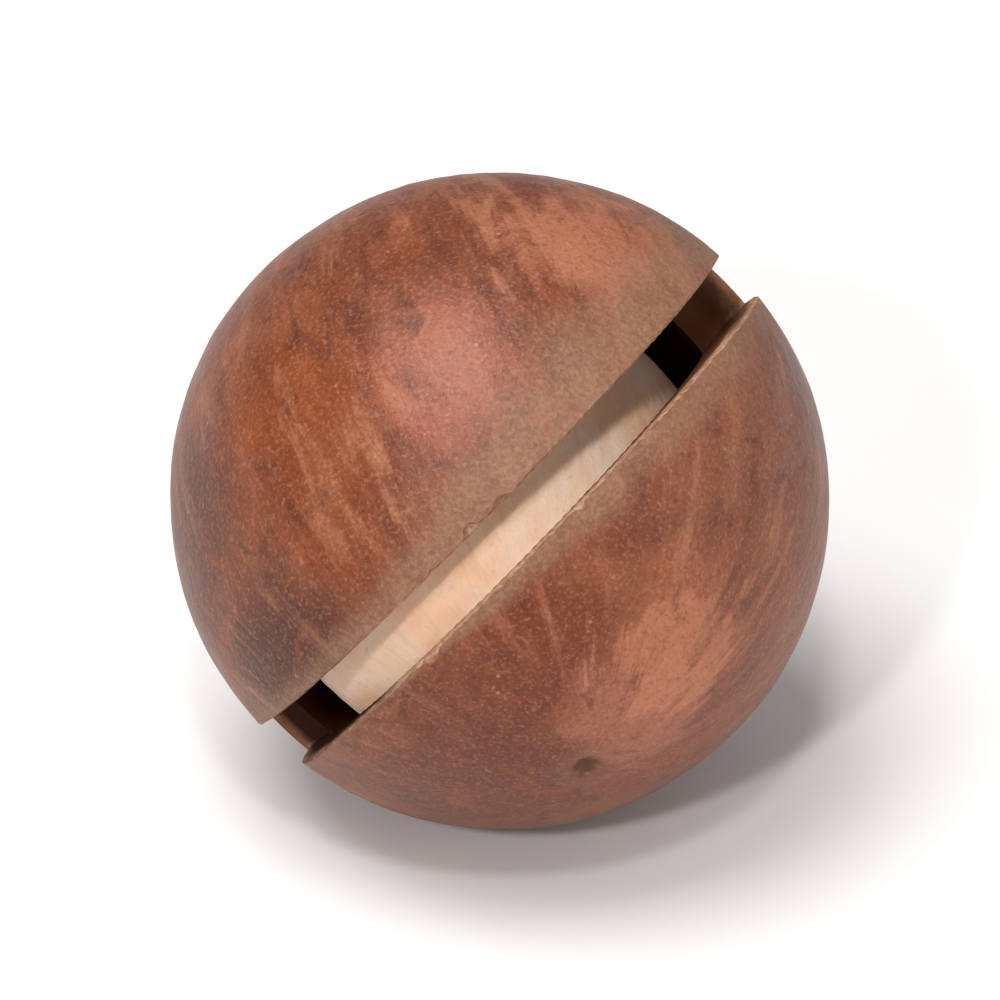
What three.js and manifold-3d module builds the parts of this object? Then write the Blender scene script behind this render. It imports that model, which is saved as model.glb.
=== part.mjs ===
// Macadamia nut in its shell, with a saw cut through the shell that shows the kernel.
// Millimetres, +Z up. The origin is the middle of the small flat spot that the nut rests on.
// The cut faces -Y and slants from low on the left to high on the right.

import * as THREE from 'three';
import { mergeVertices } from 'three/addons/utils/BufferGeometryUtils.js';
import Module from 'manifold-3d';

const wasm = await Module();
wasm.setup();

// Driving dimensions, in millimetres, and angles in radians
const { degToRad } = THREE.MathUtils;
const NUT_RADIUS = 13.5;
const CENTRE_HEIGHT = 13.25;
const CAVITY_RADIUS = 11;
const CAVITY_SHIFT_ALONG_CUT = -0.8;
const CAVITY_SHIFT_OUTWARD = 0.9;
const KERNEL_RADIUS = 10.4;
const KERNEL_CLEARANCE = 0.3;

// The saw cut: how wide it is, how far round it goes, and the blade that made it
const CUT_WIDTH = 2.2;
const CUT_OFF_CENTRE = 0.55;
const CUT_DEPTH_INTO_CAVITY = 0.5;
const CUT_START = degToRad(-80);
const CUT_END = degToRad(72);
const BLADE_RADIUS = 30;
const CUT_FACES_UP = degToRad(33);
const CUT_SLANT = degToRad(45.7);
const CUT_LEAN = degToRad(3);

// The outside is uneven by about this much, in a few broad waves
const SWELL_HEIGHT = 0.1;
const SWELL_WAVES = [new THREE.Vector3(2.3, 0, 1.1), new THREE.Vector3(0, 2.7, -0.8)];
const SWELL_STARTS = [0.4, 1.9];

// At one of the nut's poles is a small round pore, and at the other the dished stem scar
const PORE = { depth: 0.35, width: degToRad(3.5) };
const SCAR = { depth: 0.3, width: degToRad(10), rimAt: degToRad(13), rimWidth: degToRad(4), rimHeight: 0.18 };

// How far the kernel is from round, as parts of its radius
const KERNEL_SHORT_ALONG_CUT = 0.08;
const KERNEL_BASE = { flat: 0.03, width: degToRad(35) };
const KERNEL_POINT = { height: 0.015, width: degToRad(14) };

// Segments round and from pole to pole of each rounded surface
const OUTSIDE_SEGMENTS = [60, 36];
const CAVITY_SEGMENTS = [40, 20];
const KERNEL_SEGMENTS = [44, 26];
const ARC_STEPS = 48;
const OUTLINE_MARGIN = 2;
const BLOCK_SIDE = 3 * NUT_RADIUS;
const SAME_POINT = 1e-5;

// The cut's own directions: along it, straight out of it, and across its two faces
const toViewer = new THREE.Vector3(0, -Math.cos(CUT_FACES_UP), Math.sin(CUT_FACES_UP));
const right = new THREE.Vector3(1, 0, 0);
const upward = toViewer.clone().cross(right);
const along = right.clone().multiplyScalar(Math.cos(CUT_SLANT))
  .addScaledVector(upward, Math.sin(CUT_SLANT));
const outward = toViewer.clone().applyAxisAngle(along, CUT_LEAN);
const across = along.clone().cross(outward);

// The pore looks out low on the right of the cut, and the stem scar is behind it
const PORE_DIRECTION = new THREE.Vector3(0.26, -0.9, -0.36).normalize();

const cavityCentre = along.clone().multiplyScalar(CAVITY_SHIFT_ALONG_CUT)
  .addScaledVector(outward, CAVITY_SHIFT_OUTWARD);
const kernelCentre = cavityCentre.clone();
kernelCentre.z -= CAVITY_RADIUS - KERNEL_RADIUS - KERNEL_CLEARANCE;

// A closed solid of a geometry whose normals and texture coordinates are not needed
function solidFrom(geometry) {
  const bare = geometry.clone();
  bare.deleteAttribute('normal');
  bare.deleteAttribute('uv');
  const closed = mergeVertices(bare, SAME_POINT);
  return new wasm.Manifold(new wasm.Mesh({
    numProp: 3,
    vertProperties: Float32Array.from(closed.attributes.position.array),
    triVerts: Uint32Array.from(closed.index.array),
  }));
}

// A geometry of a solid
function geometryFrom(solid) {
  const mesh = solid.getMesh();
  const geometry = new THREE.BufferGeometry();
  geometry.setAttribute('position', new THREE.BufferAttribute(mesh.vertProperties, 3));
  geometry.setIndex(new THREE.BufferAttribute(mesh.triVerts, 1));
  geometry.computeVertexNormals();
  return geometry;
}

// A rounded body about a centre, its poles on the nut's axis, its radius given for each direction
function roundedBody(segments, centre, radiusAt) {
  const geometry = new THREE.SphereGeometry(1, ...segments);
  const poleTurn = new THREE.Quaternion().setFromUnitVectors(THREE.Object3D.DEFAULT_UP, PORE_DIRECTION);
  geometry.applyQuaternion(poleTurn);
  const places = geometry.attributes.position;
  const direction = new THREE.Vector3();
  for (let i = 0; i < places.count; i += 1) {
    direction.fromBufferAttribute(places, i).normalize();
    direction.multiplyScalar(radiusAt(direction)).add(centre);
    places.setXYZ(i, direction.x, direction.y, direction.z);
  }
  return geometry;
}

// A smooth bump of height 1 at zero that fades over a width
function bump(distance, width) {
  return Math.exp(-((distance / width) ** 2));
}

// The shell's outside: nearly round, gently uneven, with its pore and its dished stem scar
function outsideRadius(direction) {
  const fromPore = direction.angleTo(PORE_DIRECTION);
  const fromScar = Math.PI - fromPore;
  const [first, second] = SWELL_WAVES.map((wave, i) => direction.dot(wave) + SWELL_STARTS[i]);
  const swell = SWELL_HEIGHT * Math.sin(first) * Math.cos(second);
  const pore = PORE.depth * bump(fromPore, PORE.width);
  const scar = SCAR.depth * bump(fromScar, SCAR.width);
  const scarRim = SCAR.rimHeight * bump(fromScar - SCAR.rimAt, SCAR.rimWidth);
  return NUT_RADIUS + swell - pore - scar + scarRim;
}

// The kernel: a little short along the cut, pointed towards the pore and flatter behind
function kernelRadius(direction) {
  const fromPore = direction.angleTo(PORE_DIRECTION);
  const short = KERNEL_SHORT_ALONG_CUT * direction.dot(along) ** 2;
  const flat = KERNEL_BASE.flat * bump(Math.PI - fromPore, KERNEL_BASE.width);
  const point = KERNEL_POINT.height * (1 - bump(fromPore, KERNEL_POINT.width));
  return KERNEL_RADIUS * (1 - short - flat - point);
}

// The saw's path as a flat outline, round the cavity's centre, then given the blade's thickness.
// Its floor follows the cavity, and the blade's own round edge runs out at both ends.
// In the outline, x is along the cut and y is straight out of it.
function sawPath() {
  const floorRadius = CAVITY_RADIUS - CUT_DEPTH_INTO_CAVITY;
  const clearRadius = NUT_RADIUS + OUTLINE_MARGIN;
  const bladeDistance = floorRadius + BLADE_RADIUS;
  const start = Math.PI / 2 - CUT_START;
  const end = Math.PI / 2 - CUT_END;
  const startBlade = [bladeDistance * Math.cos(start), bladeDistance * Math.sin(start)];
  const endBlade = [bladeDistance * Math.cos(end), bladeDistance * Math.sin(end)];

  // Where the blade's edge comes out of the nut: the turn at the blade's centre and at the cavity's
  const bladeTurn = Math.acos((bladeDistance ** 2 + BLADE_RADIUS ** 2 - clearRadius ** 2)
    / (2 * bladeDistance * BLADE_RADIUS));
  const runOut = Math.asin(BLADE_RADIUS * Math.sin(bladeTurn) / clearRadius);

  const outline = new THREE.Shape();
  outline.absarc(0, 0, floorRadius, start, end, true);
  outline.absarc(...endBlade, BLADE_RADIUS, end + Math.PI, end + Math.PI + bladeTurn, false);
  outline.absarc(0, 0, clearRadius, end - runOut, start + runOut, false);
  outline.absarc(...startBlade, BLADE_RADIUS, start + Math.PI - bladeTurn, start + Math.PI, false);

  const extrusion = { depth: CUT_WIDTH, curveSegments: ARC_STEPS, bevelEnabled: false };
  const path = new THREE.ExtrudeGeometry(outline, extrusion);
  path.translate(0, 0, -CUT_WIDTH / 2);
  path.applyMatrix4(new THREE.Matrix4().makeBasis(along, outward, across));
  const centre = cavityCentre.clone().addScaledVector(across, CUT_OFF_CENTRE);
  return path.translate(centre.x, centre.y, centre.z);
}

// What is below the surface that the nut rests on, which gives it its small flat spot
function belowFloor() {
  const block = new THREE.BoxGeometry(BLOCK_SIDE, BLOCK_SIDE, BLOCK_SIDE);
  return block.translate(0, 0, -CENTRE_HEIGHT - BLOCK_SIDE / 2);
}

// The woody shell: one piece, hollow, open where the saw went through
function makeShell() {
  const outside = solidFrom(roundedBody(OUTSIDE_SEGMENTS, new THREE.Vector3(), outsideRadius));
  const cavity = solidFrom(roundedBody(CAVITY_SEGMENTS, cavityCentre, () => CAVITY_RADIUS));
  const shell = outside.subtract(cavity)
    .subtract(solidFrom(sawPath()))
    .subtract(solidFrom(belowFloor()));
  const woody = new THREE.MeshStandardMaterial({ color: '#8f5f47', roughness: 0.5, metalness: 0 });
  const mesh = new THREE.Mesh(geometryFrom(shell), woody);
  mesh.name = 'shell';
  return mesh;
}

// The kernel, loose in the shell and settled low in the cavity
function makeKernel() {
  const kernel = solidFrom(roundedBody(KERNEL_SEGMENTS, kernelCentre, kernelRadius));
  const creamy = new THREE.MeshStandardMaterial({ color: '#e6cba0', roughness: 0.6, metalness: 0 });
  const mesh = new THREE.Mesh(geometryFrom(kernel), creamy);
  mesh.name = 'kernel';
  return mesh;
}

const nut = new THREE.Group();
nut.add(makeShell(), makeKernel());
nut.position.z = CENTRE_HEIGHT;

export default nut;
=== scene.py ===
"""Looks of a macadamia nut in its shell: woody shell, saw cut and the kernel seen in it."""

import math

import bmesh
import bpy
from mathutils import Matrix, Vector, noise


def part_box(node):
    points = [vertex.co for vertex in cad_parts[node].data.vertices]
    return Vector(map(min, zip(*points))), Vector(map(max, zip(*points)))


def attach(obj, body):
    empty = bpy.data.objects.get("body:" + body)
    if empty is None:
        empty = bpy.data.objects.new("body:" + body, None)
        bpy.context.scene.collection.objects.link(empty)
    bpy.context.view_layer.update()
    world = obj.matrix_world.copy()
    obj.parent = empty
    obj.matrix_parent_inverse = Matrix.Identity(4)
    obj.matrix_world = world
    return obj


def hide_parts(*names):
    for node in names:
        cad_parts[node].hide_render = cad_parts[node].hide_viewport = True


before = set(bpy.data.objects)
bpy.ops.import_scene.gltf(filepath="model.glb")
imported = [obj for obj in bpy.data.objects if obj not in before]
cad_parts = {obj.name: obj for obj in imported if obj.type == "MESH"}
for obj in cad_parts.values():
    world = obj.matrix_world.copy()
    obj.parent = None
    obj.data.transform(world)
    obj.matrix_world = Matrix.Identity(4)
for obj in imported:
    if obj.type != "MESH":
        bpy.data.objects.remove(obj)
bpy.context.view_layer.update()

# Driving sizes, in metres: the part's own, as its solids have them
MM = 0.001
shell_low, shell_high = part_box("shell")
NUT_RADIUS = (shell_high[0] - shell_low[0]) / 2
CENTRE_HEIGHT = 13.25 * MM
NUT_CENTRE = Vector((0, 0, CENTRE_HEIGHT))
CAVITY_RADIUS = 11.0 * MM
CAVITY_SHIFT_ALONG_CUT = -0.8 * MM
CAVITY_SHIFT_OUTWARD = 0.9 * MM
KERNEL_RADIUS = 10.4 * MM
KERNEL_CLEARANCE = 0.3 * MM
CUT_WIDTH = 2.2 * MM
CUT_OFF_CENTRE = 0.55 * MM
CUT_DEPTH_INTO_CAVITY = 0.5 * MM
CUT_START = math.radians(-80)
CUT_END = math.radians(72)
BLADE_RADIUS = 30 * MM
CUT_FACES_UP = math.radians(33)
CUT_SLANT = math.radians(45.7)
CUT_LEAN = math.radians(3)

# The outside's broad waves and its stem scar, as the solids have them
SWELL_HEIGHT = 0.1 * MM
SWELL_WAVES = [Vector((2.3, 0, 1.1)), Vector((0, 2.7, -0.8))]
SWELL_STARTS = [0.4, 1.9]
SCAR_DEPTH = 0.3 * MM
SCAR_WIDTH = 2.4 * MM
SCAR_RIM_AT = 3.1 * MM
SCAR_RIM_WIDTH = 0.9 * MM
SCAR_RIM_HEIGHT = 0.18 * MM

# The pore: where the solids have it, but narrower than theirs, and with a low ring round it
PORE_DIRECTION = Vector((0.26, -0.9, -0.36)).normalized()
PORE_DEPTH = 0.28 * MM
PORE_WIDTH = 0.5 * MM
PORE_RING_AT = 1.1 * MM
PORE_RING_WIDTH = 0.4 * MM
PORE_RING_HEIGHT = 0.07 * MM

# The cut's own directions: along it, straight out of it, and across its two faces
to_viewer = Vector((0, -math.cos(CUT_FACES_UP), math.sin(CUT_FACES_UP)))
right = Vector((1, 0, 0))
upward = to_viewer.cross(right)
along = right * math.cos(CUT_SLANT) + upward * math.sin(CUT_SLANT)
outward = Matrix.Rotation(CUT_LEAN, 3, along) @ to_viewer
across = along.cross(outward)

cavity_shift = along * CAVITY_SHIFT_ALONG_CUT + outward * CAVITY_SHIFT_OUTWARD
CAVITY_CENTRE = NUT_CENTRE + cavity_shift
KERNEL_CENTRE = CAVITY_CENTRE - Vector((0, 0, CAVITY_RADIUS - KERNEL_RADIUS - KERNEL_CLEARANCE))
CUT_CENTRE = CAVITY_CENTRE + across * CUT_OFF_CENTRE


# Relief and small sums

TINY = 1e-6


def bump(distance, width):
    """A smooth bump of height 1 at zero that fades over a width."""
    return math.exp(-((distance / width) ** 2))


def rough(place, size, octaves=1):
    """Seedless noise from about -1 to 1 whose lumps are about this size."""
    value, height = 0.0, 1.0
    for octave in range(octaves):
        value += height * noise.noise(place * (2 ** octave / size))
        height /= 2
    return value


def smooth_step(low, high, value):
    """0 below low, 1 above high and a smooth rise between them."""
    part = min(1.0, max(0.0, (value - low) / (high - low)))
    return part * part * (3 - 2 * part)


def meridian_place(direction, streak_width, streak_length):
    """A place in a pattern drawn out from pole to pole, so that it makes streaks that meet there."""
    pole_angle = direction.angle(PORE_DIRECTION)
    round_axis = direction - PORE_DIRECTION * direction.dot(PORE_DIRECTION)
    if round_axis.length < TINY:
        round_axis = along
    return (round_axis.normalized() * (NUT_RADIUS / streak_width)
            + PORE_DIRECTION * (pole_angle * NUT_RADIUS / streak_length))


# The shell

# The seed coat's lumps and dimples, each size with its height, and its faint raised streaks
RELIEF = [(6.0 * MM, 0.055 * MM), (2.0 * MM, 0.02 * MM), (0.8 * MM, 0.010 * MM)]
STREAK_WIDTH = 0.9 * MM
STREAK_LENGTH = 6 * MM
STREAK_HEIGHT = 0.02 * MM


def main_form(direction):
    """The outside's radius without its fine relief."""
    from_pore = direction.angle(PORE_DIRECTION)
    pore_distance = from_pore * NUT_RADIUS
    scar_distance = (math.pi - from_pore) * NUT_RADIUS
    first, second = (direction.dot(wave) + start for wave, start in zip(SWELL_WAVES, SWELL_STARTS))
    swell = SWELL_HEIGHT * math.sin(first) * math.cos(second)
    pore = PORE_DEPTH * bump(pore_distance, PORE_WIDTH)
    ring = PORE_RING_HEIGHT * bump(pore_distance - PORE_RING_AT, PORE_RING_WIDTH)
    scar = SCAR_DEPTH * bump(scar_distance, SCAR_WIDTH)
    scar_rim = SCAR_RIM_HEIGHT * bump(scar_distance - SCAR_RIM_AT, SCAR_RIM_WIDTH)
    return NUT_RADIUS + swell - pore + ring - scar + scar_rim


def outside_radius(direction):
    """The outside's radius with the lumps, dimples and faint streaks of the seed coat."""
    place = direction * NUT_RADIUS
    relief = sum(height * rough(place, size) for size, height in RELIEF)
    streaks = STREAK_HEIGHT * noise.noise(meridian_place(direction, STREAK_WIDTH, STREAK_LENGTH))
    return main_form(direction) + relief + streaks


def depth_under_outside(place):
    """How far a place is below the shell's outside."""
    from_centre = place - NUT_CENTRE
    return main_form(from_centre.normalized()) - from_centre.length


def rounded_mesh(centre, radius_at, subdivisions, finer_near=None):
    """A round bmesh of even triangles; those near a place of interest are split once more."""
    ball = bmesh.new()
    bmesh.ops.create_icosphere(ball, subdivisions=subdivisions, radius=1)
    if finer_near:
        near = {vert for vert in ball.verts if finer_near(vert.co.normalized())}
        edges = [edge for edge in ball.edges if edge.verts[0] in near and edge.verts[1] in near]
        bmesh.ops.subdivide_edges(ball, edges=edges, cuts=1, use_grid_fill=True)
        bmesh.ops.triangulate(ball, faces=ball.faces)
    for vert in ball.verts:
        direction = vert.co.normalized()
        vert.co = centre + direction * radius_at(direction)
    return ball


def piece_from(mesh, name, materials):
    """A Blender object of a bmesh, smooth except at sharp edges."""
    data = bpy.data.meshes.new(name)
    mesh.to_mesh(data)
    mesh.free()
    for material in materials:
        data.materials.append(material)
    data.shade_smooth()
    piece = bpy.data.objects.new(name, data)
    bpy.context.collection.objects.link(piece)
    return piece


# The saw's path

# The radii of its floor and its open side, round the cavity's centre, and the blade's distance
FLOOR_RADIUS = CAVITY_RADIUS - CUT_DEPTH_INTO_CAVITY
OUTLINE_MARGIN = 2 * MM
CLEAR_RADIUS = NUT_RADIUS + OUTLINE_MARGIN
BLADE_DISTANCE = FLOOR_RADIUS + BLADE_RADIUS

# How finely its walls and its floor are stepped, and how far short of its run-out it ends
WALL_STEP = 0.12 * MM
FLOOR_STEPS = 8
SHORT_OF_RUN_OUT = math.radians(0.5)

# The faint saw marks, and the lumps between them
SAW_MARK_SPACING = 0.55 * MM
SAW_MARK_LEAN = 0.6
SAW_MARK_HEIGHT = 0.012 * MM
WALL_LUMP_SIZE = 0.6 * MM

# The worn lips and their chips: CHIPPED is the noise at which a chip starts and is whole
LIP_WIDTH = 0.10 * MM
LIP_DEPTH = 0.28 * MM
LIP_LUMP_SIZE = 2.2 * MM
LIP_UNEVENNESS = 0.5
CHIPPED = (0.35, 0.75)
CHIP_SHIFT = 1 * MM
CHIP_SIZE = 1.3 * MM
CHIP_WIDTH = 0.3 * MM
CHIP_DEPTH = 0.3 * MM


def blade_run_out():
    """How far past the end of the cut the blade's round edge comes out of the nut, as an angle."""
    turn = math.acos((BLADE_DISTANCE ** 2 + BLADE_RADIUS ** 2 - CLEAR_RADIUS ** 2)
                     / (2 * BLADE_DISTANCE * BLADE_RADIUS))
    return math.asin(BLADE_RADIUS * math.sin(turn) / CLEAR_RADIUS)


def floor_at(angle):
    """The cut's floor radius round the cavity's centre: a circle, then the blade's own edge."""
    past = max(angle - CUT_END, CUT_START - angle, 0)
    return (BLADE_DISTANCE * math.cos(past)
            - math.sqrt(BLADE_RADIUS ** 2 - (BLADE_DISTANCE * math.sin(past)) ** 2))


def wall_place(angle, radius, side):
    """A place on one wall of the cut, with faint saw marks, a slightly worn lip and a few chips.

    The chips are moved along by the side, so that the two lips differ.
    """
    radial = outward * math.cos(angle) + along * math.sin(angle)
    flat = CUT_CENTRE + radial * radius
    place = flat + across * (side * CUT_WIDTH / 2)
    depth = max(0, depth_under_outside(place))
    along_marks = angle * NUT_RADIUS + radius * SAW_MARK_LEAN
    marks = SAW_MARK_HEIGHT * math.sin(2 * math.pi * along_marks / SAW_MARK_SPACING)
    marks += SAW_MARK_HEIGHT * rough(place, WALL_LUMP_SIZE, octaves=2)
    lip = 1 + LIP_UNEVENNESS * rough(place, LIP_LUMP_SIZE, octaves=2)
    lip *= LIP_WIDTH * bump(depth, LIP_DEPTH)
    chip = smooth_step(*CHIPPED, rough(place + radial * side * CHIP_SHIFT, CHIP_SIZE, octaves=2))
    chip *= CHIP_WIDTH * bump(depth, CHIP_DEPTH)
    return flat + across * (side * (CUT_WIDTH / 2 + marks + lip + chip))


def saw_path():
    """The space that the saw took, as one closed bmesh with finely stepped walls."""
    last = blade_run_out() - SHORT_OF_RUN_OUT
    first_angle, last_angle = CUT_START - last, CUT_END + last
    stations = round((last_angle - first_angle) * NUT_RADIUS / WALL_STEP)
    wall_steps = round((CLEAR_RADIUS - FLOOR_RADIUS) / WALL_STEP)
    path = bmesh.new()
    rings = []
    for station in range(stations + 1):
        angle = first_angle + (last_angle - first_angle) * station / stations
        low = floor_at(angle)
        radii = [low + (CLEAR_RADIUS - low) * step / wall_steps for step in range(wall_steps + 1)]
        left = [wall_place(angle, radius, -1) for radius in radii]
        right_side = [wall_place(angle, radius, 1) for radius in reversed(radii)]
        top = [left[-1].lerp(right_side[0], step / FLOOR_STEPS) for step in range(1, FLOOR_STEPS)]
        floor = [right_side[-1].lerp(left[0], step / FLOOR_STEPS) for step in range(1, FLOOR_STEPS)]
        rings.append([path.verts.new(place) for place in left + top + right_side + floor])
    for ring, following in zip(rings, rings[1:]):
        count = len(ring)
        for i in range(count):
            j = (i + 1) % count
            path.faces.new((ring[i], ring[j], following[j], following[i]))
    path.faces.new(rings[0][::-1])
    path.faces.new(rings[-1])
    bmesh.ops.triangulate(path, faces=path.faces)
    bmesh.ops.recalc_face_normals(path, faces=path.faces)
    return path


# How near the cut's edges, past its ends and near the pore the outside has finer triangles
DETAIL_BY_CUT = 0.9 * MM
DETAIL_PAST_ENDS = 0.6
DETAIL_BY_PORE = 2.2 * MM


def near_detail(direction):
    """Whether a place outside is by the cut's edges or by the pore."""
    from_cut = direction * NUT_RADIUS + NUT_CENTRE - CUT_CENTRE
    by_cut = abs(abs(from_cut.dot(across)) - CUT_WIDTH / 2) < DETAIL_BY_CUT
    angle = math.atan2(from_cut.dot(along), from_cut.dot(outward))
    in_reach = CUT_START - DETAIL_PAST_ENDS < angle < CUT_END + DETAIL_PAST_ENDS
    from_pore = direction.angle(PORE_DIRECTION) * NUT_RADIUS
    return (by_cut and in_reach) or from_pore < DETAIL_BY_PORE


def carve(piece, tool):
    """Takes the tool's space out of the piece and deletes the tool."""
    cut = piece.modifiers.new("cut", "BOOLEAN")
    cut.operation = "DIFFERENCE"
    cut.solver = "MANIFOLD"
    cut.object = tool
    bpy.context.view_layer.objects.active = piece
    bpy.ops.object.modifier_apply(modifier=cut.name)
    bpy.data.objects.remove(tool)


# The lining's lumps, the angle at which an edge is sharp, and how fine the triangles are
LINING_LUMP_SIZE = 2 * MM
LINING_LUMP_HEIGHT = 0.04 * MM
SHARP_EDGE = math.radians(40)
OUTSIDE_SUBDIVISIONS = 7
LINING_SUBDIVISIONS = 6

# Which of the shell's materials its cut faces and its lining have: index 0 is the seed coat
SAWN_INDEX = 1
LINING_INDEX = 2


def cavity_radius(direction):
    """The cavity's radius, with the soft unevenness of its lining."""
    return CAVITY_RADIUS + LINING_LUMP_HEIGHT * rough(direction * NUT_RADIUS, LINING_LUMP_SIZE)


def make_shell(seed_coat, sawn, lining):
    """The woody shell: its outside, its sawn faces and its lining."""
    outside = rounded_mesh(NUT_CENTRE, outside_radius, OUTSIDE_SUBDIVISIONS, near_detail)
    for vert in outside.verts:
        vert.co.z = max(vert.co.z, 0)
    shell = piece_from(outside, "woody_shell", [seed_coat, sawn, lining])
    cavity = rounded_mesh(CAVITY_CENTRE, cavity_radius, LINING_SUBDIVISIONS)
    for face in cavity.faces:
        face.material_index = LINING_INDEX
    carve(shell, piece_from(cavity, "cavity", [seed_coat, sawn, lining]))
    path = saw_path()
    for face in path.faces:
        face.material_index = SAWN_INDEX
    carve(shell, piece_from(path, "saw_path", [seed_coat, sawn, lining]))
    shell.data.set_sharp_from_angle(angle=SHARP_EDGE)
    return shell


# The kernel

# How far it is from round, as parts of its radius, with its fine seam and its low lumps
KERNEL_SHORT_ALONG_CUT = 0.08
KERNEL_BASE_FLAT = 0.03
KERNEL_BASE_WIDTH = math.radians(35)
KERNEL_POINT_HEIGHT = 0.015
KERNEL_POINT_WIDTH = math.radians(14)
KERNEL_SUBDIVISIONS = 7
SEAM_DEPTH = 0.12 * MM
SEAM_WIDTH = 0.22 * MM
KERNEL_RELIEF = [(3.0 * MM, 0.07 * MM), (0.9 * MM, 0.035 * MM), (0.4 * MM, 0.010 * MM)]


def kernel_radius(direction):
    """The kernel's radius: pointed towards the pore, flat behind, with a fine seam round it."""
    from_pore = direction.angle(PORE_DIRECTION)
    short = KERNEL_SHORT_ALONG_CUT * direction.dot(along) ** 2
    flat = KERNEL_BASE_FLAT * bump(math.pi - from_pore, KERNEL_BASE_WIDTH)
    point = KERNEL_POINT_HEIGHT * (1 - bump(from_pore, KERNEL_POINT_WIDTH))
    seam_way = PORE_DIRECTION.cross(along).normalized()
    seam = SEAM_DEPTH * bump(direction.dot(seam_way) * KERNEL_RADIUS, SEAM_WIDTH)
    relief = sum(height * rough(direction * KERNEL_RADIUS, size) for size, height in KERNEL_RELIEF)
    return KERNEL_RADIUS * (1 - short - flat - point) - seam + relief


def make_kernel(flesh):
    """The whole kernel, settled low in the shell."""
    kernel = rounded_mesh(KERNEL_CENTRE, kernel_radius, KERNEL_SUBDIVISIONS)
    return piece_from(kernel, "whole_kernel", [flesh])


# Materials

def linear(code):
    """The linear colour of an sRGB hex code such as #8a563c."""
    parts = [int(code[i:i + 2], 16) / 255 for i in (1, 3, 5)]
    light = [part / 12.92 if part <= 0.04045 else ((part + 0.055) / 1.055) ** 2.4 for part in parts]
    return (*light, 1.0)


def new_material(name):
    """A material with an empty tree, with its tree."""
    material = bpy.data.materials.new(name)
    material.use_nodes = True
    material.node_tree.nodes.clear()
    return material, material.node_tree


def add(tree, kind, inputs=(), **settings):
    """Adds a node with its settings. Its inputs, by name or in order, are values or what feeds them."""
    node = tree.nodes.new("ShaderNode" + kind)
    for name, value in settings.items():
        setattr(node, name, value)
    sockets = [socket for socket in node.inputs if socket.enabled]
    if isinstance(inputs, dict):
        sockets = [node.inputs[name] for name in inputs]
        inputs = inputs.values()
    for socket, source in zip(sockets, inputs):
        if isinstance(source, bpy.types.Node):
            source = next(output for output in source.outputs if output.enabled)
        if isinstance(source, bpy.types.NodeSocket):
            tree.links.new(source, socket)
        else:
            socket.default_value = source
    return node


def place_in_mm(tree, centre):
    """The place on the piece, in millimetres from a centre."""
    inside = add(tree, "TexCoord").outputs["Object"]
    from_centre = add(tree, "VectorMath", [inside, tuple(centre)], operation="SUBTRACT")
    return add(tree, "VectorMath", [from_centre, 1 / MM], operation="SCALE")


def place_by_cut(tree, place, *ways):
    """How far a place is from the middle of the cut's circle, each way."""
    middle = tuple((CUT_CENTRE - NUT_CENTRE) / MM)
    from_cut = add(tree, "VectorMath", [place, middle], operation="SUBTRACT")
    return [add(tree, "VectorMath", [from_cut, tuple(way)], operation="DOT_PRODUCT").outputs["Value"]
            for way in ways]


def stain(tree, color, shade, pattern, bare, full, strength=1.0, only_in=None):
    """Stains a colour with a shade: not where a pattern is at bare, and most where it is at full."""
    amount = add(tree, "MapRange", [pattern, bare, full, 0.0, strength], interpolation_type="SMOOTHSTEP")
    if only_in:
        amount = add(tree, "Math", [amount, only_in], operation="MULTIPLY")
    return add(tree, "Mix", [amount, color, linear(shade)], data_type="RGBA")


def finish_surface(tree, color, roughness, height, bump_height, **fixed):
    """The shader and its bump. Fixed values go straight on the shader's sockets."""
    relief = add(tree, "Bump", {"Height": height, "Distance": bump_height, "Strength": 1.0})
    inputs = {"Base Color": color, "Roughness": roughness, "Normal": relief}
    inputs.update({name.replace("_", " "): value for name, value in fixed.items()})
    shader = add(tree, "BsdfPrincipled", inputs)
    add(tree, "OutputMaterial", {"Surface": shader})


# In the materials' values, four numbers together are a pattern's range and what it is mapped to,
# and two are its range alone, which is mapped to 0 and 1.

# The seed coat's patterns, as a noise node takes them: a scale is 1 over the size in millimetres.
# The coat's own grain and the sawdust on it are under 0.1 mm, and are drawn coarser so that they
# show. The streaks have scale 1, because pole_streaks draws out their places first.
MOTTLE = {"Scale": 1 / 5.0, "Detail": 5.0, "Distortion": 0.6}
ORANGE = {"Scale": 1 / 2.4, "Detail": 6.0, "Roughness": 0.6, "Distortion": 0.8}
DARK = {"Scale": 1 / 1.8, "Detail": 6.0, "Roughness": 0.62, "Distortion": 0.6}
FLECKS = {"Scale": 1 / 0.4, "Detail": 3.0, "Roughness": 0.6}
GRIT = {"Scale": 1 / 0.16, "Detail": 3.0, "Roughness": 0.7}
STREAK = {"Scale": 1.0, "Detail": 5.0, "Roughness": 0.62, "Distortion": 0.4}
STREAK_PATCHES = {"Scale": 1 / 4.0, "Detail": 4.0}
SAWDUST = {"Scale": 1 / 0.2, "Detail": 3.0, "Roughness": 0.7}
RUBBED = {"Scale": 1 / 1.2, "Detail": 5.0, "Roughness": 0.65}
BAND_EDGE = {"Scale": 1 / 2.4, "Detail": 5.0, "Roughness": 0.62}
MARK_EDGE = {"Scale": 1 / 2.6, "Detail": 6.0}
PORE_EDGE = {"Scale": 1 / 0.6, "Detail": 3.0}

# In millimetres: the width and length of the broad and of the fine streaks, and how far apart and
# how big the pale specks are
BROAD_STREAK = (1.5, 6.0)
FINE_STREAK = (0.5, 2.4)
SPECK_SPACING = 0.9
SPECK_RADIUS = 0.12

# Where the streaks show: away from the poles, by the sine of the angle, and in patches
OFF_POLES = (0.25, 0.85)
STREAKED_PATCHES = (0.38, 0.60, 0.25, 1.0)

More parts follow.
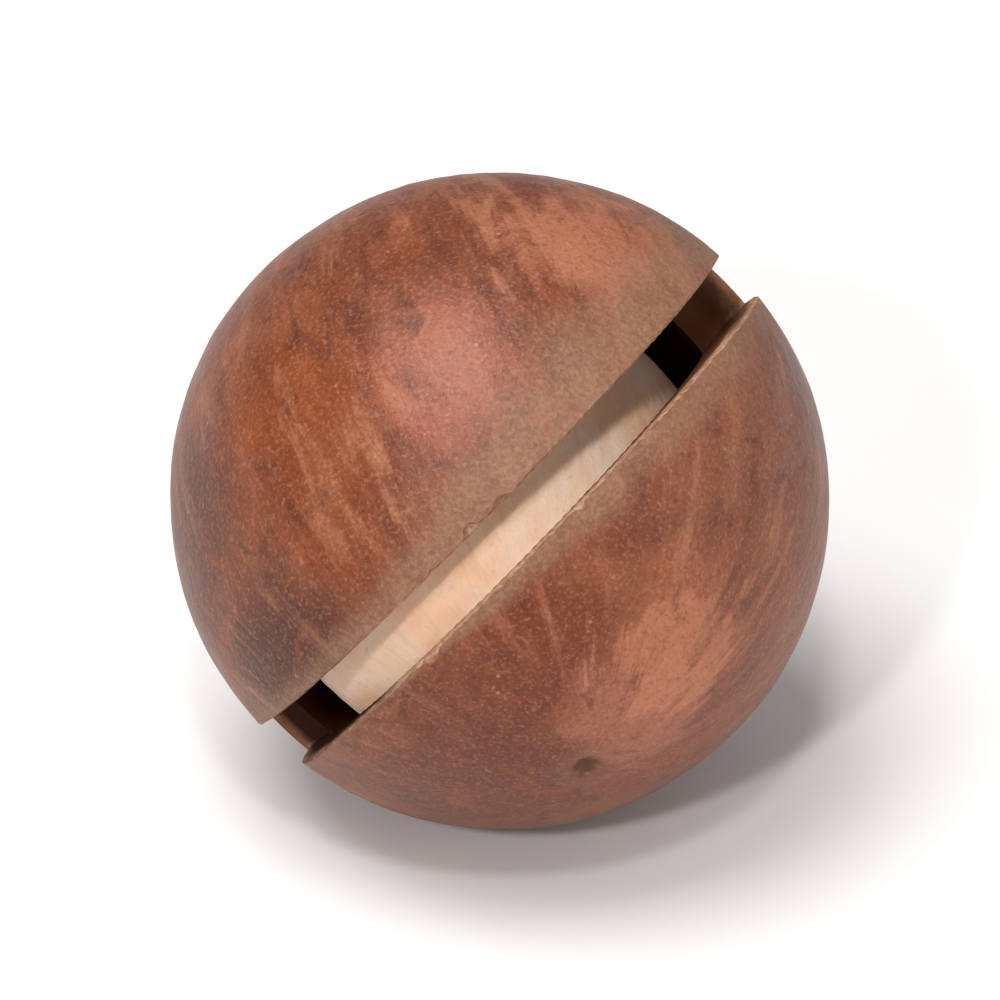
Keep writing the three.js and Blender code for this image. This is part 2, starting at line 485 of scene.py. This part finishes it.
# How far the orange and the dark pattern are moved, in millimetres, to fall in places of their own
ORANGE_MOVED = (31.0, 7.0, 3.0)
DARK_MOVED = (3.0, 17.0, 23.0)

# How far a large mark's edge wanders in millimetres, by how far a noise is from its middle, how
# far the streaks draw it out, and where it starts and is full, as parts of its width
NOISE_MIDDLE = (0.5, 0.5, 0.5)
MARK_EDGE_WANDER = 4.0
MARK_STREAKINESS = 5.0
MARK_START = 0.7
MARK_FULL = -0.1

# How far the stem scar's edge wanders, and the distances from its middle, in millimetres, of
# its edge and of where it is all cork
SCAR_RAGGEDNESS = 2.4
SCAR_EDGE = (5.2, 4.2)

# The worn band, in millimetres: its width at the cut's low and high ends, above the cut and below
# it, where those ends are, and where it starts by the cut's edge and round the nut's side
BAND_ABOVE = (1.2, 4.4)
BAND_BELOW = (0.25, 1.9)
BAND_ENDS = (-9.0, 7.0)
BAND_START = (-1.4, -0.8)
BAND_ROUND_SIDE = (-5.0, 0.0)

# Where the band fades out, in parts of its width, and how rubbed its patches are
BAND_FADE = (1.7, 0.6)
BAND_RUBBED = (0.35, 0.60, 0.55, 1.0)

# How rough the coat is by its mottling, and how much rougher where it is worn or corky
COAT_ROUGHNESS = (0.3, 0.7, 0.38, 0.48)
WORN_ROUGHNESS = 0.2
CORK_ROUGHNESS = 0.3

# How high the coat's fine relief stands, and the parts that its patterns have in it
COAT_RELIEF = 0.05 * MM
GRIT_PART = 0.25
STREAK_PART = 0.6
SAWDUST_PART = 0.3

# Large marks: where each is seen from the front, in nut radii to the right and up, how wide it is
# in millimetres, its colour and how strongly it shows. Most are the coat's own colour; one is a
# pink tone lightened into a painted highlight, and the last three are painted shade.
MARKS_AND_PAINTED_LIGHT = [
    (-0.60, 0.30, 3.2, "#783611", 0.80),
    (-0.54, -0.02, 2.6, "#723515", 0.70),
    # A pink tone of the coat, made lighter as a painted highlight where the overhead lamp's highlight
    # falls
    (-0.17, 0.39, 3.0, "#985039", 0.55),
    (0.27, 0.80, 3.4, "#a5664c", 0.75),
    (0.12, -0.42, 2.6, "#66290f", 0.80),
    (0.56, -0.38, 3.0, "#8f4f32", 0.75),
    (0.72, 0.28, 4.6, "#7c4c39", 0.80),
    (0.42, -0.62, 2.4, "#a3624b", 0.60),
    (0.51, -0.47, 1.3, "#b57252", 0.50),
    # Painted shade: low on the left over a darker purplish tone of the coat, along the bottom, and on
    # the left rim
    (-0.62, -0.50, 3.6, "#3f1c0d", 0.85),
    (-0.05, -0.88, 5.0, "#5a2a1a", 0.75),
    (-0.93, -0.02, 4.0, "#48200f", 0.60),
]


def seen_from_front(to_right, up):
    """The place on the outside, in millimetres from the middle, by where it is seen from the front."""
    towards = math.sqrt(1 - to_right ** 2 - up ** 2)
    return (right * to_right + upward * up + to_viewer * towards) * (NUT_RADIUS / MM)


def pole_angle_at(tree, place):
    """The angle round the nut from the pore to a place."""
    direction = add(tree, "VectorMath", [place], operation="NORMALIZE")
    height = add(tree, "VectorMath", [direction, tuple(PORE_DIRECTION)], operation="DOT_PRODUCT")
    return add(tree, "Math", [height], operation="ARCCOSINE")


def pole_streaks(tree, place, pole_angle, width, length):
    """Noise drawn out from pole to pole into streaks of this width and length."""
    axis = tuple(PORE_DIRECTION)
    along_axis = add(tree, "VectorMath", [place, axis], operation="PROJECT")
    sideways = add(tree, "VectorMath", [place, along_axis], operation="SUBTRACT")
    sideways = add(tree, "VectorMath", [sideways], operation="NORMALIZE")
    ring = add(tree, "VectorMath", [sideways, NUT_RADIUS / MM / width], operation="SCALE")
    down = add(tree, "Math", [pole_angle, NUT_RADIUS / MM / length], operation="MULTIPLY")
    down = add(tree, "VectorMath", [axis, down], operation="SCALE")
    drawn_out = add(tree, "VectorMath", [ring, down], operation="ADD")
    return add(tree, "TexNoise", {"Vector": drawn_out, **STREAK})


def mottled_brown_and_painted_light(tree, place, broad, streaks):
    """The coat's brown with broad mottling, large streaky marks, a painted highlight and shade, orange
    and dark patches.
    """
    edge = add(tree, "TexNoise", {"Vector": place, **MARK_EDGE})
    edge = add(tree, "VectorMath", [edge.outputs["Color"], NOISE_MIDDLE], operation="SUBTRACT")
    edge = add(tree, "VectorMath", [edge, MARK_EDGE_WANDER], operation="SCALE")
    uneven = add(tree, "VectorMath", [place, edge], operation="ADD")
    color = stain(tree, linear("#672f17"), "#7d4428", broad, bare=0.35, full=0.65)
    for to_right, up, width, shade, strength in MARKS_AND_PAINTED_LIGHT:
        middle = tuple(seen_from_front(to_right, up))
        distance = add(tree, "VectorMath", [uneven, middle], operation="DISTANCE")
        streaky = add(tree, "Math", [streaks, -MARK_STREAKINESS, distance], operation="MULTIPLY_ADD")
        color = stain(tree, color, shade, streaky, bare=width * MARK_START, full=width * MARK_FULL,
                      strength=strength)

    elsewhere = add(tree, "VectorMath", [place, ORANGE_MOVED], operation="ADD")
    orange = add(tree, "TexNoise", {"Vector": elsewhere, **ORANGE})
    color = stain(tree, color, "#8c471d", orange, bare=0.54, full=0.72, strength=0.55)
    elsewhere = add(tree, "VectorMath", [place, DARK_MOVED], operation="ADD")
    dark = add(tree, "TexNoise", {"Vector": elsewhere, **DARK})
    return stain(tree, color, "#471f11", dark, bare=0.55, full=0.70, strength=0.6)


def streaked(tree, place, color, pole_angle, streaks):
    """Soft patchy streaks that thin out before the poles, with finer ones over them."""
    fine = pole_streaks(tree, place, pole_angle, *FINE_STREAK)
    from_axis = add(tree, "Math", [pole_angle], operation="SINE")
    off_poles = add(tree, "MapRange", [from_axis, *OFF_POLES])
    patchy = add(tree, "TexNoise", {"Vector": place, **STREAK_PATCHES})
    patchy = add(tree, "MapRange", [patchy, *STREAKED_PATCHES])
    there = add(tree, "Math", [off_poles, patchy], operation="MULTIPLY")
    color = stain(tree, color, "#a56a4a", streaks, bare=0.49, full=0.66, strength=0.65, only_in=there)
    color = stain(tree, color, "#4c1f10", streaks, bare=0.47, full=0.32, strength=0.60, only_in=there)
    color = stain(tree, color, "#a06d52", fine, bare=0.54, full=0.72, strength=0.30, only_in=there)
    return stain(tree, color, "#421d10", fine, bare=0.46, full=0.30, strength=0.35, only_in=there)


def speckled(tree, place, color, flecks, grit):
    """Small flecks, a fine grain, and scattered pale specks of many sizes."""
    color = stain(tree, color, "#b18064", flecks, bare=0.58, full=0.74, strength=0.20)
    color = stain(tree, color, "#381a10", flecks, bare=0.42, full=0.28, strength=0.28)
    color = stain(tree, color, "#b98667", grit, bare=0.52, full=0.68, strength=0.26)
    color = stain(tree, color, "#3b1c10", grit, bare=0.48, full=0.32, strength=0.36)
    specks = add(tree, "TexVoronoi", {"Vector": place, "Scale": 1 / SPECK_SPACING})
    radius = add(tree, "SeparateColor", [specks.outputs["Color"]]).outputs[0]
    past_rim = add(tree, "Math", [radius, -SPECK_RADIUS / SPECK_SPACING, specks.outputs["Distance"]],
                   operation="MULTIPLY_ADD")
    return stain(tree, color, "#b48a6c", past_rim, bare=0.0, full=-0.08, strength=0.5)


def pore_and_scar(tree, place, color, pole_angle, flecks):
    """The pore, a dark dot in a faint light ring, and the grey corky stem scar opposite.

    Each is drawn by the distance from its middle, in millimetres. It returns the colour and how
    corky each place is.
    """
    radius = NUT_RADIUS / MM
    wander = add(tree, "TexNoise", {"Vector": place, **PORE_EDGE})
    from_pore = add(tree, "Math", [pole_angle, radius, wander], operation="MULTIPLY_ADD")
    color = stain(tree, color, "#96694f", from_pore, bare=2.4, full=1.4, strength=0.2)
    color = stain(tree, color, "#4a2412", from_pore, bare=1.25, full=0.85, strength=0.8)
    from_scar = add(tree, "Math", [math.pi, pole_angle], operation="SUBTRACT")
    ragged = add(tree, "Math", [wander, SCAR_RAGGEDNESS], operation="MULTIPLY")
    from_scar = add(tree, "Math", [from_scar, radius, ragged], operation="MULTIPLY_ADD")
    corky = add(tree, "MapRange", [from_scar, *SCAR_EDGE], interpolation_type="SMOOTHSTEP")
    color = stain(tree, color, "#54352a", from_scar, bare=6.4, full=5.0, strength=0.45)
    color = stain(tree, color, "#74533f", corky, bare=0.0, full=1.0, strength=0.70)
    color = stain(tree, color, "#a4866b", flecks, bare=0.50, full=0.66, strength=0.42, only_in=corky)
    color = stain(tree, color, "#3f2619", flecks, bare=0.48, full=0.34, strength=0.45, only_in=corky)
    color = stain(tree, color, "#3b2117", from_scar, bare=3.0, full=1.7, strength=0.75)
    return color, corky


def worn_by_cut(tree, place):
    """How worn the coat is beside the cut: in a wide band above it and a narrow one below it."""
    side, lengthwise, front = place_by_cut(tree, place, across, along, outward)
    wander = add(tree, "TexNoise", {"Vector": place, **BAND_EDGE})
    half_cut = CUT_WIDTH / 2 / MM
    bands = []
    for facing, widths in ((-1, BAND_ABOVE), (1, BAND_BELOW)):
        past_edge = add(tree, "Math", [side, facing, -half_cut], operation="MULTIPLY_ADD")
        width = add(tree, "MapRange", [lengthwise, *BAND_ENDS, *widths], interpolation_type="SMOOTHSTEP")
        share = add(tree, "Math", [past_edge, width], operation="DIVIDE")
        ragged = add(tree, "Math", [wander, share], operation="ADD")
        worn = add(tree, "MapRange", [ragged, *BAND_FADE], interpolation_type="SMOOTHSTEP")
        on_this_side = add(tree, "MapRange", [past_edge, *BAND_START])
        bands.append(add(tree, "Math", [worn, on_this_side], operation="MULTIPLY"))
    worn = add(tree, "Math", bands, operation="MAXIMUM")
    in_front = add(tree, "MapRange", [front, *BAND_ROUND_SIDE])
    return add(tree, "Math", [worn, in_front], operation="MULTIPLY")


def seed_coat_material():
    """Macadamia seed coat, dried and tumbled: hard woody shell, reddish brown and satin.

    The eye sees soft streaks that run from pole to pole, orange and dark mottling, a fine grain
    with pale specks, a worn tan band with sawdust beside the cut, a small dark pore, and a
    speckled grey stem scar behind. Up on the left lies a painted highlight, and painted shade
    lies low down and on the left rim.
    """
    material, tree = new_material("dried_seed_coat")
    place = place_in_mm(tree, NUT_CENTRE)
    pole_angle = pole_angle_at(tree, place)
    broad = add(tree, "TexNoise", {"Vector": place, **MOTTLE})
    flecks = add(tree, "TexNoise", {"Vector": place, **FLECKS})
    grit = add(tree, "TexNoise", {"Vector": place, **GRIT})
    streaks = pole_streaks(tree, place, pole_angle, *BROAD_STREAK)
    color = mottled_brown_and_painted_light(tree, place, broad, streaks)
    color = streaked(tree, place, color, pole_angle, streaks)
    color = speckled(tree, place, color, flecks, grit)
    color, corky = pore_and_scar(tree, place, color, pole_angle, flecks)

    # Sawdust and wear beside the cut, in grains
    grains = add(tree, "TexNoise", {"Vector": place, **SAWDUST})
    rubbed = add(tree, "TexNoise", {"Vector": place, **RUBBED})
    rubbed = add(tree, "MapRange", [rubbed, *BAND_RUBBED])
    worn = add(tree, "Math", [worn_by_cut(tree, place), rubbed], operation="MULTIPLY")
    color = stain(tree, color, "#805e4a", worn, bare=0.0, full=1.0, strength=0.72)
    color = stain(tree, color, "#9a775d", grains, bare=0.44, full=0.62, strength=0.42, only_in=worn)
    color = stain(tree, color, "#5f3c28", grains, bare=0.44, full=0.30, strength=0.35, only_in=worn)

    roughness = add(tree, "MapRange", [broad, *COAT_ROUGHNESS])
    roughness = add(tree, "Math", [worn, WORN_ROUGHNESS, roughness], operation="MULTIPLY_ADD")
    roughness = add(tree, "Math", [corky, CORK_ROUGHNESS, roughness], operation="MULTIPLY_ADD")
    height = add(tree, "Math", [grit, GRIT_PART, flecks], operation="MULTIPLY_ADD")
    height = add(tree, "Math", [streaks, STREAK_PART, height], operation="MULTIPLY_ADD")
    sawdust = add(tree, "Math", [grains, worn], operation="MULTIPLY")
    height = add(tree, "Math", [sawdust, SAWDUST_PART, height], operation="MULTIPLY_ADD")
    finish_surface(tree, color, roughness, height, COAT_RELIEF, IOR=1.46, Specular_IOR_Level=0.36)
    return material


# The sawn wood's patterns
WOOD_FLECKS = {"Scale": 1 / 0.35, "Detail": 3.0, "Roughness": 0.65}
WOOD_FIBRES = {"Scale": 1 / 1.1, "Detail": 4.0, "Distortion": 0.5}

# In millimetres: how deep the dark skin and the pale part are, how wide their edges are and how
# far these wander, how far off the cut's walls the painted shade of its bottom starts and is full,
# and where along the cut the near-black painted shade of its low end and of its high end starts
# and is full. Below the pale part the wood is darkened as painted shade.
SKIN_DEPTH = 0.3
PALE_DEPTH = 1.0
SKIN_EDGE = 0.15
PALE_EDGE = 1.0
EDGE_WANDER = 0.5
SHADED_BOTTOM_OFF_WALLS = (0.02, 0.2)
SHADED_LOW_END = (-7.0, -8.5)
SHADED_HIGH_END = (11.6, 12.8)

# How strongly the wood under the skin takes the painted shade of the cut's ends, how rough it is and its
# fine relief
SHADE_UNDER_SKIN = (SKIN_DEPTH, PALE_DEPTH, 0.0, 0.96)
SAWN_ROUGHNESS = (0.3, 0.7, 0.75, 0.9)
SAWN_RELIEF = 0.04 * MM


def sawn_material():
    """Sawn macadamia shell: dense woody stone cells, cut dry by a fine blade.

    The eye sees tan wood with flecks and fine blade marks and a dark skin outside. Painted shade
    darkens the wood inwards and at the cut's bottom, and nearly blackens it at both of its ends.
    """
    material, tree = new_material("sawn_shell_wall")
    place = place_in_mm(tree, NUT_CENTRE)
    from_centre = add(tree, "VectorMath", [place], operation="LENGTH")
    depth = add(tree, "Math", [NUT_RADIUS / MM, from_centre], operation="SUBTRACT")
    flecks = add(tree, "TexNoise", {"Vector": place, **WOOD_FLECKS})
    fibres = add(tree, "TexNoise", {"Vector": place, **WOOD_FIBRES})
    uneven = add(tree, "Math", [fibres, EDGE_WANDER, depth], operation="MULTIPLY_ADD")
    color = stain(tree, linear("#936a52"), "#bd9880", flecks, bare=0.35, full=0.65)
    color = stain(tree, color, "#855a3c", fibres, bare=0.50, full=0.70, strength=0.5)
    # Painted shade: the wood darkens below its pale part, deeper in the cut
    color = stain(tree, color, "#653820", uneven, bare=PALE_DEPTH, full=PALE_DEPTH + PALE_EDGE,
                  strength=0.9)
    color = stain(tree, color, "#6f4129", uneven, bare=SKIN_DEPTH + SKIN_EDGE, full=SKIN_DEPTH,
                  strength=0.6)

    # Painted shade at the cut's bottom, and near-black painted shade at its low end and at its high end
    side, lengthwise = place_by_cut(tree, place, across, along)
    off_middle = add(tree, "Math", [side], operation="ABSOLUTE")
    half_cut = CUT_WIDTH / 2 / MM
    start, full = SHADED_BOTTOM_OFF_WALLS
    color = stain(tree, color, "#74452a", off_middle, bare=half_cut - start, full=half_cut - full,
                  strength=0.7)
    inside = add(tree, "MapRange", [uneven, *SHADE_UNDER_SKIN])
    start, full = SHADED_LOW_END
    color = stain(tree, color, "#260702", lengthwise, bare=start, full=full, only_in=inside)
    start, full = SHADED_HIGH_END
    color = stain(tree, color, "#2b150b", lengthwise, bare=start, full=full, strength=0.7,
                  only_in=inside)

    roughness = add(tree, "MapRange", [flecks, *SAWN_ROUGHNESS])
    finish_surface(tree, color, roughness, flecks, SAWN_RELIEF, IOR=1.5, Specular_IOR_Level=0.03)
    return material


# The lining's patterns, where its cream part starts and is full along the way to the pore, and
# how far that line wanders, in millimetres
LINING_BORDER = {"Scale": 1 / 3.0, "Detail": 4.0, "Roughness": 0.6}
LINING_SPECKS = {"Scale": 1 / 0.5, "Detail": 3.0}
CREAM_START = 6.5
CREAM_FULL = 8.5
CREAM_WANDER = 4.0
LINING_ROUGHNESS = (0.3, 0.7, 0.25, 0.4)
LINING_RELIEF = 0.02 * MM


def lining_material():
    """Inner seed coat of a macadamia, grown smooth: glossy, cream near the pore and brown behind.

    The eye sees an enamel-like lining that goes from brown to cream across an uneven line.
    """
    material, tree = new_material("inner_seed_coat")
    place = place_in_mm(tree, CAVITY_CENTRE)
    height = add(tree, "VectorMath", [place, tuple(PORE_DIRECTION)], operation="DOT_PRODUCT")
    wander = add(tree, "TexNoise", {"Vector": place, **LINING_BORDER})
    border = add(tree, "Math", [wander, CREAM_WANDER, height], operation="MULTIPLY_ADD")
    color = stain(tree, linear("#7a4a2a"), "#d0b088", border, bare=CREAM_START, full=CREAM_FULL)
    specks = add(tree, "TexNoise", {"Vector": place, **LINING_SPECKS})
    color = stain(tree, color, "#5f3820", specks, bare=0.55, full=0.70, strength=0.3)
    roughness = add(tree, "MapRange", [wander, *LINING_ROUGHNESS])
    finish_surface(tree, color, roughness, specks, LINING_RELIEF, IOR=1.5)
    return material


# The flesh's patterns, its veins' width and length in millimetres, and its fine relief with the
# parts that its patterns have in it
FLESH_PATCHES = {"Scale": 1 / 3.0, "Detail": 5.0}
FLESH_FRECKLES = {"Scale": 1 / 0.45, "Detail": 4.0, "Roughness": 0.65}
FLESH_GRAIN = {"Scale": 1 / 0.15, "Detail": 2.0, "Roughness": 0.6}
FLESH_VEIN = (0.7, 4.0)
FLESH_ROUGHNESS = (0.3, 0.7, 0.42, 0.55)
FLESH_RELIEF = 0.05 * MM
FLESH_GRAIN_PART = 0.3
FLESH_VEIN_PART = 0.8


def kernel_material():
    """Macadamia kernel, dried: oily cream flesh with a waxy surface.

    The eye sees pale cream that light sinks into a little, with faint veins from pole to pole,
    tan freckles and shallow pits. The cream is tinted pink as a painted reflection of the brown shell.
    """
    material, tree = new_material("oily_kernel_flesh")
    place = place_in_mm(tree, KERNEL_CENTRE)
    broad = add(tree, "TexNoise", {"Vector": place, **FLESH_PATCHES})
    freckles = add(tree, "TexNoise", {"Vector": place, **FLESH_FRECKLES})
    grain = add(tree, "TexNoise", {"Vector": place, **FLESH_GRAIN})
    veins = pole_streaks(tree, place, pole_angle_at(tree, place), *FLESH_VEIN)
    # The flesh's cream, tinted pink: painted reflection of the warm light off the brown shell
    color = stain(tree, linear("#ffcda8"), "#ffe2c8", broad, bare=0.35, full=0.65)
    color = stain(tree, color, "#e5b48e", veins, bare=0.50, full=0.72, strength=0.35)
    color = stain(tree, color, "#cf9c72", freckles, bare=0.60, full=0.74, strength=0.40)
    color = stain(tree, color, "#e9bf98", grain, bare=0.52, full=0.70, strength=0.30)
    roughness = add(tree, "MapRange", [broad, *FLESH_ROUGHNESS])
    height = add(tree, "Math", [grain, FLESH_GRAIN_PART, freckles], operation="MULTIPLY_ADD")
    height = add(tree, "Math", [veins, FLESH_VEIN_PART, height], operation="MULTIPLY_ADD")
    fixed = {"IOR": 1.46, "Subsurface_Weight": 0.2, "Subsurface_Scale": 0.4 * MM,
             "Subsurface_Radius": (1.0, 0.6, 0.3)}
    finish_surface(tree, color, roughness, height, FLESH_RELIEF, **fixed)
    return material


# The stage: floor, light and camera

VIEW_ELEVATION = math.radians(33)
CAMERA_LENS = 300
SENSOR_WIDTH = 36
PICTURE_WIDTH = 41 * MM
FLOOR_SIZE = 2.0
FLOOR_GAP = 0.02 * MM
FLOOR_SQUARES = 8
BOARD_MOTTLE = {"Scale": 1 / 40}

# How bright the room is at the horizon and overhead
ROOM_BRIGHTNESS = (0.12, 0.50)

# Each lamp's name, its place and size in metres, and its power in watts
LAMPS = [
    ("overhead", (-0.12, -0.05, 0.43), 0.26, 1.66),
    ("high_front", (-0.01, -0.23, 0.38), 0.04, 0.36),
    ("low_front", (-0.134, -0.370, 0.290), 0.035, 0.84),
    ("right_fill", (0.40, -0.22, 0.12), 0.30, 0.55),
]


def floor_material():
    """Matt white studio board, which gives a soft grey shadow and no gloss."""
    material, tree = new_material("white_studio_board")
    mottle = add(tree, "TexNoise", {"Vector": place_in_mm(tree, Vector()), **BOARD_MOTTLE})
    color = stain(tree, linear("#e6e4e2"), "#eae8e6", mottle, bare=0.3, full=0.7)
    shader = add(tree, "BsdfPrincipled", {"Base Color": color, "Roughness": 0.9})
    add(tree, "OutputMaterial", {"Surface": shader})
    return material


def make_floor():
    """A large floor, just under the nut."""
    sheet = bmesh.new()
    bmesh.ops.create_grid(sheet, x_segments=FLOOR_SQUARES, y_segments=FLOOR_SQUARES, size=FLOOR_SIZE / 2)
    floor = piece_from(sheet, "floor", [floor_material()])
    floor.location.z = -FLOOR_GAP


def aim(thing, place, target):
    """Puts a light or camera at a place and points it at a target."""
    thing.location = place
    thing.rotation_euler = (Vector(target) - Vector(place)).to_track_quat("-Z", "Y").to_euler()
    bpy.context.collection.objects.link(thing)


def make_lights():
    """A large soft light overhead, two small ones in front, and a broad weak one on the right.

    The small ones make the cut's upper lip throw its shadow on the kernel.
    """
    for name, place, size, watts in LAMPS:
        light = bpy.data.lights.new(name, "AREA")
        light.size = size
        light.energy = watts
        aim(bpy.data.objects.new(name, light), place, NUT_CENTRE)


def make_room():
    """A white room, dimmer low down than overhead."""
    room = bpy.data.worlds.new("white_room")
    room.use_nodes = True
    tree = room.node_tree
    tree.nodes.clear()
    way = add(tree, "TexCoord")
    up = add(tree, "SeparateXYZ", [way]).outputs["Z"]
    brightness = add(tree, "MapRange", [up, 0.0, 1.0, *ROOM_BRIGHTNESS])
    light = add(tree, "Background", {"Color": (1, 1, 1, 1), "Strength": brightness})
    add(tree, "OutputWorld", {"Surface": light})
    bpy.context.scene.world = room


def make_camera():
    """A long lens in front of the nut, looking down on it."""
    lens = bpy.data.cameras.new("camera")
    lens.lens = CAMERA_LENS
    lens.sensor_width = SENSOR_WIDTH
    camera = bpy.data.objects.new("camera", lens)
    distance = PICTURE_WIDTH * CAMERA_LENS / SENSOR_WIDTH
    back = Vector((0, -math.cos(VIEW_ELEVATION), math.sin(VIEW_ELEVATION)))
    aim(camera, NUT_CENTRE + back * distance, NUT_CENTRE)
    bpy.context.scene.camera = camera


make_camera()
make_lights()
make_room()
make_floor()

shell = make_shell(seed_coat_material(), sawn_material(), lining_material())
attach(shell, "root")
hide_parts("shell")

kernel = make_kernel(kernel_material())
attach(kernel, "root")
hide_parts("kernel")

bpy.context.scene.view_settings.view_transform = "Standard"
